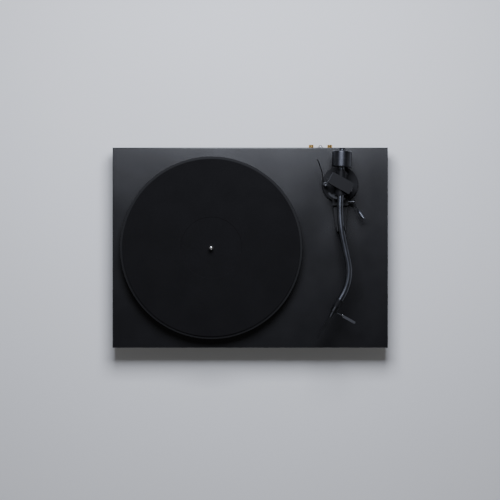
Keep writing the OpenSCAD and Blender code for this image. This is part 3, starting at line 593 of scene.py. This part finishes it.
def softened(node, edge=None, slot=None, sharp=35):
    """A copy of a CAD node's shape with its sharp edges rounded."""
    shape = bmesh.new()
    shape.from_mesh(frame["nodes"][node].data)
    bmesh.ops.remove_doubles(shape, verts=shape.verts, dist=SAME_PLACE)
    bmesh.ops.dissolve_limit(
        shape, angle_limit=math.radians(FLAT_ANGLE), verts=shape.verts, edges=shape.edges
    )
    width = detail().edge if edge is None else edge
    if width:
        keen = [
            e
            for e in shape.edges
            if len(e.link_faces) == 2 and e.calc_face_angle(0) > math.radians(KEEN_ANGLE)
        ]
        bmesh.ops.bevel(
            shape,
            geom=keen,
            offset=width,
            segments=2,
            affect="EDGES",
            profile=0.5,
            clamp_overlap=True,
        )
    return piece_from(
        shape, node + "_body", BODY_OF[node], slot or SLOT_OF[node], [node], sharp
    )


def dress(*nodes):
    """Gives CAD nodes whose shape is already right their finish."""
    for node in nodes:
        shown = frame["nodes"][node]
        for material_slot in shown.material_slots:
            material_slot.material = finish(SLOT_OF[node])


# ---- Operators: one for each piece or group of like pieces ----


class BuildPlinth(bpy.types.Operator):
    """The lacquered plinth with its softened edges, and the cover below it."""

    bl_idname = "player.plinth"
    bl_label = "Plinth"

    def execute(self, context):
        softened("plinth", edge=detail().edge * 0.8)
        softened("base_cover")
        dress("cover_screws")
        return {"FINISHED"}


class BuildFeet(bpy.types.Operator):
    """Turned foot cups with a waist line, on soft rubber pads."""

    bl_idname = "player.feet"
    bl_label = "Feet"

    def execute(self, context):
        for corner in ("front_left", "front_right", "back_left", "back_right"):
            low, high, middle = span("foot_" + corner)
            foot = upright((middle.x, middle.y, low.z))
            radius, tall = (high.x - low.x) / 2, high.z - low.z
            line = 1.2 * MM
            profile = soft_profile(
                [
                    (0, HAIR),
                    (radius, HAIR),
                    (radius, tall * 0.45),
                    (radius - line, tall * 0.45 + line),
                    (radius, tall * 0.45 + 2 * line),
                    (radius, tall - HAIR),
                    (0, tall - HAIR),
                ],
                detail().edge,
            )
            shape = bmesh.new()
            lathe(shape, profile, foot)
            piece_from(shape, "foot_cup_" + corner, "base", "black_plastic", ["foot_" + corner])
            low, high, middle = span("pad_" + corner)
            pad = upright((middle.x, middle.y, low.z))
            radius, tall = (high.x - low.x) / 2, high.z - low.z
            groove = 0.8 * MM
            profile = soft_profile(
                [
                    (0, groove),
                    (radius * 0.45, groove),
                    (radius * 0.5, 0),
                    (radius * 0.93, 0),
                    (radius, groove * 1.4),
                    (radius, tall),
                    (0, tall),
                ],
                detail().edge,
            )
            shape = bmesh.new()
            lathe(shape, profile, pad)
            piece_from(shape, "foot_pad_" + corner, "base", "rubber", ["pad_" + corner])
        dress("foot_screws")
        return {"FINISHED"}


class BuildBearing(bpy.types.Operator):
    """The platter bearing in the plinth."""

    bl_idname = "player.bearing"
    bl_label = "Platter bearing"

    def execute(self, context):
        softened("bearing_housing")
        dress("bearing_bushes", "thrust_pad", "thrust_ball", "bearing_screws")
        return {"FINISHED"}


class BuildPlatter(bpy.types.Operator):
    """The platter with its grooved rim, the sub-platter and the damping ring."""

    bl_idname = "player.platter"
    bl_label = "Platter"

    def execute(self, context):
        low, high, _ = span("platter")
        radius, tall = (high.x - low.x) / 2, high.z - low.z
        ring_low, ring_high, _ = span("damping_ring")
        inner = (ring_high.x - ring_low.x) / 2
        web = high.z - ring_high.z
        bore = 3.8 * MM
        groove = 0.6 * MM
        edge = detail().edge * 2
        rim = [
            (bore, tall - web),
            (inner, tall - web),
            (inner, 0),
            (radius, 0),
            (radius, tall * 0.3),
            (radius - groove, tall * 0.3 + groove),
            (radius, tall * 0.3 + 2 * groove),
            (radius, tall),
            (bore, tall),
        ]
        shape = bmesh.new()
        place = upright((HUB.x, HUB.y, low.z))
        profile = soft_profile(rim, edge, closed=True)
        lathe(shape, profile, place, 2 * detail().lathe_steps, closed=True)
        piece_from(shape, "platter_casting", "platter", "platter_coat", ["platter"])
        softened("sub_platter")
        dress("damping_ring")
        return {"FINISHED"}


class BuildMat(bpy.types.Operator):
    """The mat: a rounded edge and a shallow recess for a record's label."""

    bl_idname = "player.mat"
    bl_label = "Platter mat"

    def execute(self, context):
        low, high, _ = span("mat")
        radius, tall = (high.x - low.x) / 2, high.z - low.z
        label = LABEL_RADIUS
        recess = 0.5 * MM
        slope = 0.6 * MM
        hole = MAT_HOLE
        edge = detail().mat_edge
        profile = [(hole, 0), (radius - edge * 0.4, 0)]
        profile += rounded((radius, tall), (radius, 0), (0, tall), edge, 6)
        floor = tall - recess
        top_edge, foot = (label + slope, tall), (label, floor)
        profile += rounded(top_edge, (radius, tall), foot, slope * 0.6, 3)
        profile += rounded(foot, top_edge, (0, floor), slope * 0.6, 3)
        profile += [(hole + 0.4 * MM, floor), (hole, floor - 0.3 * MM)]
        shape = bmesh.new()
        place = upright((HUB.x, HUB.y, low.z))
        lathe(shape, profile, place, 2 * detail().lathe_steps, closed=True)
        piece_from(shape, "platter_mat", "platter", "mat", ["mat"], sharp=50)
        return {"FINISHED"}


class BuildSpindle(bpy.types.Operator):
    """The polished spindle with its domed tip."""

    bl_idname = "player.spindle"
    bl_label = "Spindle"

    def execute(self, context):
        softened("spindle", edge=0, sharp=40)
        return {"FINISHED"}


class BuildDrive(bpy.types.Operator):
    """Motor, its plate on grommets, pulley and belt."""

    bl_idname = "player.drive"
    bl_label = "Belt drive"

    def execute(self, context):
        for node in ("motor", "motor_plate", "motor_pulley"):
            softened(node)
        dress("motor_grommets")
        softened("drive_belt", edge=0.1 * MM)
        return {"FINISHED"}


class BuildControls(bpy.types.Operator):
    """The speed switch under the front edge and its control board."""

    bl_idname = "player.controls"
    bl_label = "Speed control"

    def execute(self, context):
        for node in ("switch_housing", "switch_rocker"):
            softened(node)
        dress("control_board")
        return {"FINISHED"}


class BuildConnectors(bpy.types.Operator):
    """The rear panel with its phono sockets, ground post, knurled nut and power inlet."""

    bl_idname = "player.connectors"
    bl_label = "Connectors"

    def execute(self, context):
        for node in ("rear_panel", "phono_sockets", "power_inlet", "ground_post"):
            softened(node, edge=detail().edge * 0.7)
        softened("socket_insulators", edge=0.1 * MM)
        low, high, middle = span("ground_nut")
        place = facing(Vector((middle.x, low.y, middle.z)), Vector((0, 1, 0)))
        radius, long = (high.x - low.x) / 2, high.y - low.y
        knurls, bore = detail().knurls, 2.1 * MM
        profile = [
            (bore, 0),
            (radius * 0.92, 0),
            (radius, 0.4 * MM, True),
            (radius, long * 0.74, True),
            (radius * 0.92, long * 0.79),
            (radius * 0.76, long * 0.81),
            (radius * 0.74, long * 0.97),
            (radius * 0.7, long),
            (bore, long),
        ]
        shape = bmesh.new()
        depth = 0.25 * MM
        lathe(shape, profile, place, knurls * 4, closed=True, ripple=knurling(depth, knurls))
        piece_from(shape, "knurled_ground_nut", "ground_nut", "steel", ["ground_nut"])
        dress("panel_screws", "signal_leads")
        return {"FINISHED"}


class BuildArmBase(bpy.types.Operator):
    """The round arm base, its screws and the pillar that the arm turns on."""

    bl_idname = "player.arm_base"
    bl_label = "Arm base"

    def execute(self, context):
        softened("arm_base")
        softened("height_pillar")
        softened("base_screws", edge=detail().edge * 0.6)
        dress("vertical_bearings")
        return {"FINISHED"}


class BuildArmRest(bpy.types.Operator):
    """The arm rest's wing and cradle."""

    bl_idname = "player.arm_rest"
    bl_label = "Arm rest"

    def execute(self, context):
        softened("arm_rest", edge=detail().edge * 1.6)
        return {"FINISHED"}


class BuildHanger(bpy.types.Operator):
    """The post with its bent wire, which an anti-skate thread would hang on."""

    bl_idname = "player.hanger"
    bl_label = "Thread hanger"

    def execute(self, context):
        low, high, _ = span("thread_hanger")
        pillar = span("height_pillar")[2]
        post = Vector((pillar.x - HANGER_BACK, pillar.y - HANGER_SIDE, low.z))
        post_r = HANGER_POST_R
        wire_r = HANGER_WIRE_R
        wire_end = Vector((low.x + wire_r, high.y - wire_r, high.z - wire_r))
        top = wire_end.z - HANGER_WIRE_RISE
        shape = bmesh.new()
        tall = top - low.z
        profile = soft_profile(
            [
                (0, 0),
                (post_r, 0),
                (post_r, tall * 0.55),
                (post_r * 0.82, tall * 0.6),
                (post_r * 0.82, tall * 0.7),
                (post_r, tall * 0.75),
                (post_r, tall),
                (post_r * 0.5, tall),
                (post_r * 0.45, tall - 1.5 * MM),
                (0, tall - 1.5 * MM),
            ],
            detail().edge,
        )
        lathe(shape, profile, upright(post), 48)
        start = Vector((post.x - 1.0 * MM, post.y + 1.8 * MM, top - 3 * MM))
        early = start.lerp(wire_end, 0.12) + Vector((-1.6 * MM, 0, 2.2 * MM))
        middle = start.lerp(wire_end, 0.45) + Vector((0.8 * MM, 0, 2.5 * MM))
        late = start.lerp(wire_end, 0.8) + Vector((0.6 * MM, 0, 2.2 * MM))
        sweep(shape, smooth_route([start, early, middle, late, wire_end]), wire_r * 0.95, 12)
        slot = SLOT_OF["thread_hanger"]
        piece_from(shape, "hanger_wire_and_post", "base", slot, ["thread_hanger"])
        return {"FINISHED"}


class BuildCue(bpy.types.Operator):
    """The cue lift: housing, shaft, turned grip and ribbed platform."""

    bl_idname = "player.cue"
    bl_label = "Cue lift"

    def execute(self, context):
        softened("lift_housing", edge=detail().edge * 1.4)
        softened("cue_shaft", edge=detail().edge * 0.5)
        softened("cue_grip", edge=detail().edge * 0.6)
        softened("cue_platform", edge=detail().edge * 1.2)
        top = span("cue_platform")[1].z
        shape = bmesh.new()
        ribs = 17
        first, last = CUE_RIB_ARC
        for rib in range(ribs):
            angle = first + (last - first) * rib / (ribs - 1)
            x = ARM_PIVOT.x + CUE_RIB_RADIUS * math.cos(angle)
            y = ARM_PIVOT.y + CUE_RIB_RADIUS * math.sin(angle)
            place = Matrix.Translation((x, y, top)) @ Matrix.Rotation(angle, 4, "Z")
            low_corner = (-1.3 * MM, -0.28 * MM, -0.3 * MM)
            high_corner = (1.3 * MM, 0.28 * MM, 0.25 * MM)
            block(shape, low_corner, high_corner, place, 0.1 * MM)
        piece_from(shape, "cue_platform_ribs", "cue_lift", "rubber")
        return {"FINISHED"}


class BuildArmBearing(bpy.types.Operator):
    """The bearing block that the arm tilts in, with its pivot screws and side stub."""

    bl_idname = "player.arm_bearing"
    bl_label = "Arm bearing"

    def execute(self, context):
        softened("bearing_block", edge=detail().edge * 2)
        softened("side_stub", edge=detail().edge * 0.5, slot="dark_steel")
        dress("pivot_screws", "pivot_pins")
        return {"FINISHED"}


class BuildArm(bpy.types.Operator):
    """The sleeve and the S-shaped tube."""

    bl_idname = "player.arm"
    bl_label = "Tonearm"

    def execute(self, context):
        softened("arm_sleeve", edge=detail().edge * 2)
        softened("arm_tube", edge=detail().edge * 0.5, sharp=40)
        behind_weight = joint_place("counterweight_turn") + ARM_BACK * KNOB_REACH
        radius, long = 4.9 * MM, 2.05 * MM
        ridges = detail().knurls
        ridge = 0.3 * MM
        shape = bmesh.new()
        profile = [
            (0, 0),
            (radius - ridge, 0),
            (radius, 0.5 * MM, True),
            (radius, long - 0.5 * MM, True),
            (radius - ridge, long),
            (0, long),
        ]
        place = facing(behind_weight, ARM_BACK)
        lathe(shape, profile, place, ridges * 4, ripple=knurling(ridge, ridges))
        piece_from(shape, "rear_knob", "tonearm", "cartridge_black")
        return {"FINISHED"}


class BuildCollar(bpy.types.Operator):
    """The fluted locking collar of the arm's head."""

    bl_idname = "player.collar"
    bl_label = "Locking collar"

    def execute(self, context):
        softened("locking_collar", edge=detail().edge * 0.8)
        return {"FINISHED"}


class BuildHead(bpy.types.Operator):
    """The narrow cartridge, its stylus unit and the finger lift."""

    bl_idname = "player.head"
    bl_label = "Arm head"

    def execute(self, context):
        softened("cartridge", edge=detail().edge * 1.2)
        for name, (start, end, wide) in {"head_neck": NECK, "head_flange": FLANGE}.items():
            place = facing(COLLAR_FRONT + HEAD_BACK * (start - COLLAR_REACH), HEAD_BACK)
            long = end - start
            corners = [(wide * 0.8, 0), (wide, 0), (wide, long), (wide * 0.8, long)]
            profile = soft_profile(corners, detail().edge, closed=True)
            shape = bmesh.new()
            lathe(shape, profile, place, 48, closed=True)
            piece_from(shape, name, "tonearm", "dark_steel")
        softened("stylus_unit", edge=0.2 * MM)
        softened("finger_lift", edge=detail().edge * 0.9)
        # A polished disc on the finger lift's bend, as a painted highlight.
        self.add_lift_highlight_disc()
        return {"FINISHED"}

    def add_lift_highlight_disc(self):
        """A bright polished steel disc where the finger lift's bar meets its stalk: a painted highlight standing
        in for the shine on that bend, not a real pin head.
        """
        across = HEAD_BACK.cross(UP)
        stalk = COLLAR_FRONT + HEAD_BACK * (LIFT_REACH - COLLAR_REACH)
        spot = stalk + across * LIFT_OUT - UP * LIFT_SINK
        radius, tall = 1.25 * MM, 0.8 * MM
        shape = bmesh.new()
        profile = soft_profile([(0, 0), (radius, 0), (radius, tall), (0, tall)], 0.3 * MM)
        lathe(shape, profile, upright(spot), 32)
        # The disc's bright polished steel stands in for the highlight on the lift's bend.
        piece_from(shape, "finger_lift_highlight_disc", "tonearm", "polished_steel")


class BuildWeight(bpy.types.Operator):
    """The counterweight with its rounded ends and a fine line, on its inner sleeve."""

    bl_idname = "player.weight"
    bl_label = "Counterweight"

    def execute(self, context):
        softened("counterweight", edge=0)
        softened("weight_insert", edge=detail().edge)
        return {"FINISHED"}


class BuildStage(bpy.types.Operator):
    """A pale floor, soft lights and a camera straight above."""

    bl_idname = "player.stage"
    bl_label = "Stage"

    def execute(self, context):
        scene = context.scene
        floor_mesh = bpy.data.meshes.new("studio_floor")
        reach = 6.0
        corners = [(-reach, -reach, 0), (reach, -reach, 0), (reach, reach, 0), (-reach, reach, 0)]
        floor_mesh.from_pydata(corners, [], [(0, 1, 2, 3)])
        floor = bpy.data.objects.new("studio_floor", floor_mesh)
        scene.collection.objects.link(floor)
        floor_mesh.materials.append(painted_floor("pale_floor", (0.82, 0.82, 0.82)))
        back_edge = span("plinth")[1].y
        cool, plain = (0.84, 0.88, 1.0), (1.0, 1.0, 1.0)
        self.add_light(scene, "back_softbox", (0, back_edge + 0.42, 1.05), (0.62, 0.6), 21, cool)
        self.add_light(scene, "front_fill", (0, -2.3, 1.0), (2.4, 0.9), 8, plain)
        self.add_light(scene, "left_fill", (-2.5, 0, 0.7), (1.2, 0.7), 1.5, plain)
        self.add_light(scene, "right_fill", (2.5, 0, 0.7), (1.2, 0.7), 1.5, plain)
        world = bpy.data.worlds.new("studio_world")
        world.use_nodes = True
        background = world.node_tree.nodes["Background"]
        background.inputs["Color"].default_value = (1, 1, 1, 1)
        background.inputs["Strength"].default_value = 0.06
        scene.world = world
        self.add_camera(scene)
        return {"FINISHED"}

    def add_light(self, scene, name, place, size, power, colour):
        lamp = bpy.data.lights.new(name, "AREA")
        lamp.shape = "RECTANGLE"
        lamp.size, lamp.size_y = size
        lamp.energy = power
        lamp.color = colour
        light = bpy.data.objects.new(name, lamp)
        light.location = place
        light.rotation_euler = Vector(place).to_track_quat("Z", "Y").to_euler()
        light.visible_camera = False
        scene.collection.objects.link(light)

    def add_camera(self, scene):
        """Straight above the plinth, with the object almost in the middle of the frame."""
        plinth_top = span("plinth")[1].z
        frame_width = 0.826
        distance = 4.0
        lens = bpy.data.cameras.new("overhead_camera")
        lens.sensor_width = 36
        lens.lens = lens.sensor_width * distance / frame_width
        lens.clip_end = 50
        camera = bpy.data.objects.new("overhead_camera", lens)
        middle = span("plinth")[2]
        left, down = 0.0004 * frame_width, 0.0046 * frame_width
        camera.location = (middle.x - left, middle.y - down, plinth_top + distance)
        scene.collection.objects.link(camera)
        scene.camera = camera


BUILD_ORDER = (
    BuildPlinth,
    BuildFeet,
    BuildBearing,
    BuildPlatter,
    BuildMat,
    BuildSpindle,
    BuildDrive,
    BuildControls,
    BuildConnectors,
    BuildArmBase,
    BuildArmRest,
    BuildHanger,
    BuildCue,
    BuildArmBearing,
    BuildArm,
    BuildCollar,
    BuildHead,
    BuildWeight,
    BuildStage,
)


class PlayerPanel(bpy.types.Panel):
    """Lists the player's settings and its pieces."""

    bl_idname = "VIEW3D_PT_record_player"
    bl_label = "Record Player"
    bl_space_type = "VIEW_3D"
    bl_region_type = "UI"
    bl_category = "Record Player"

    def draw(self, context):
        column = self.layout.column()
        for settings in (context.scene.player_look, context.scene.player_detail):
            for name in settings.__annotations__:
                column.prop(settings, name)
        for build in BUILD_ORDER:
            column.operator(build.bl_idname)


CLASSES = (PlayerLook, PlayerDetail, *BUILD_ORDER, PlayerPanel)


def register():
    for each in CLASSES:
        bpy.utils.register_class(each)
    bpy.types.Scene.player_look = bpy.props.PointerProperty(type=PlayerLook)
    bpy.types.Scene.player_detail = bpy.props.PointerProperty(type=PlayerDetail)


def unregister():
    del bpy.types.Scene.player_detail
    del bpy.types.Scene.player_look
    for each in reversed(CLASSES):
        bpy.utils.unregister_class(each)


def main():
    register()
    for build in BUILD_ORDER:
        group, name = build.bl_idname.split(".")
        getattr(getattr(bpy.ops, group), name)()


if __name__ == "__main__":
    main()
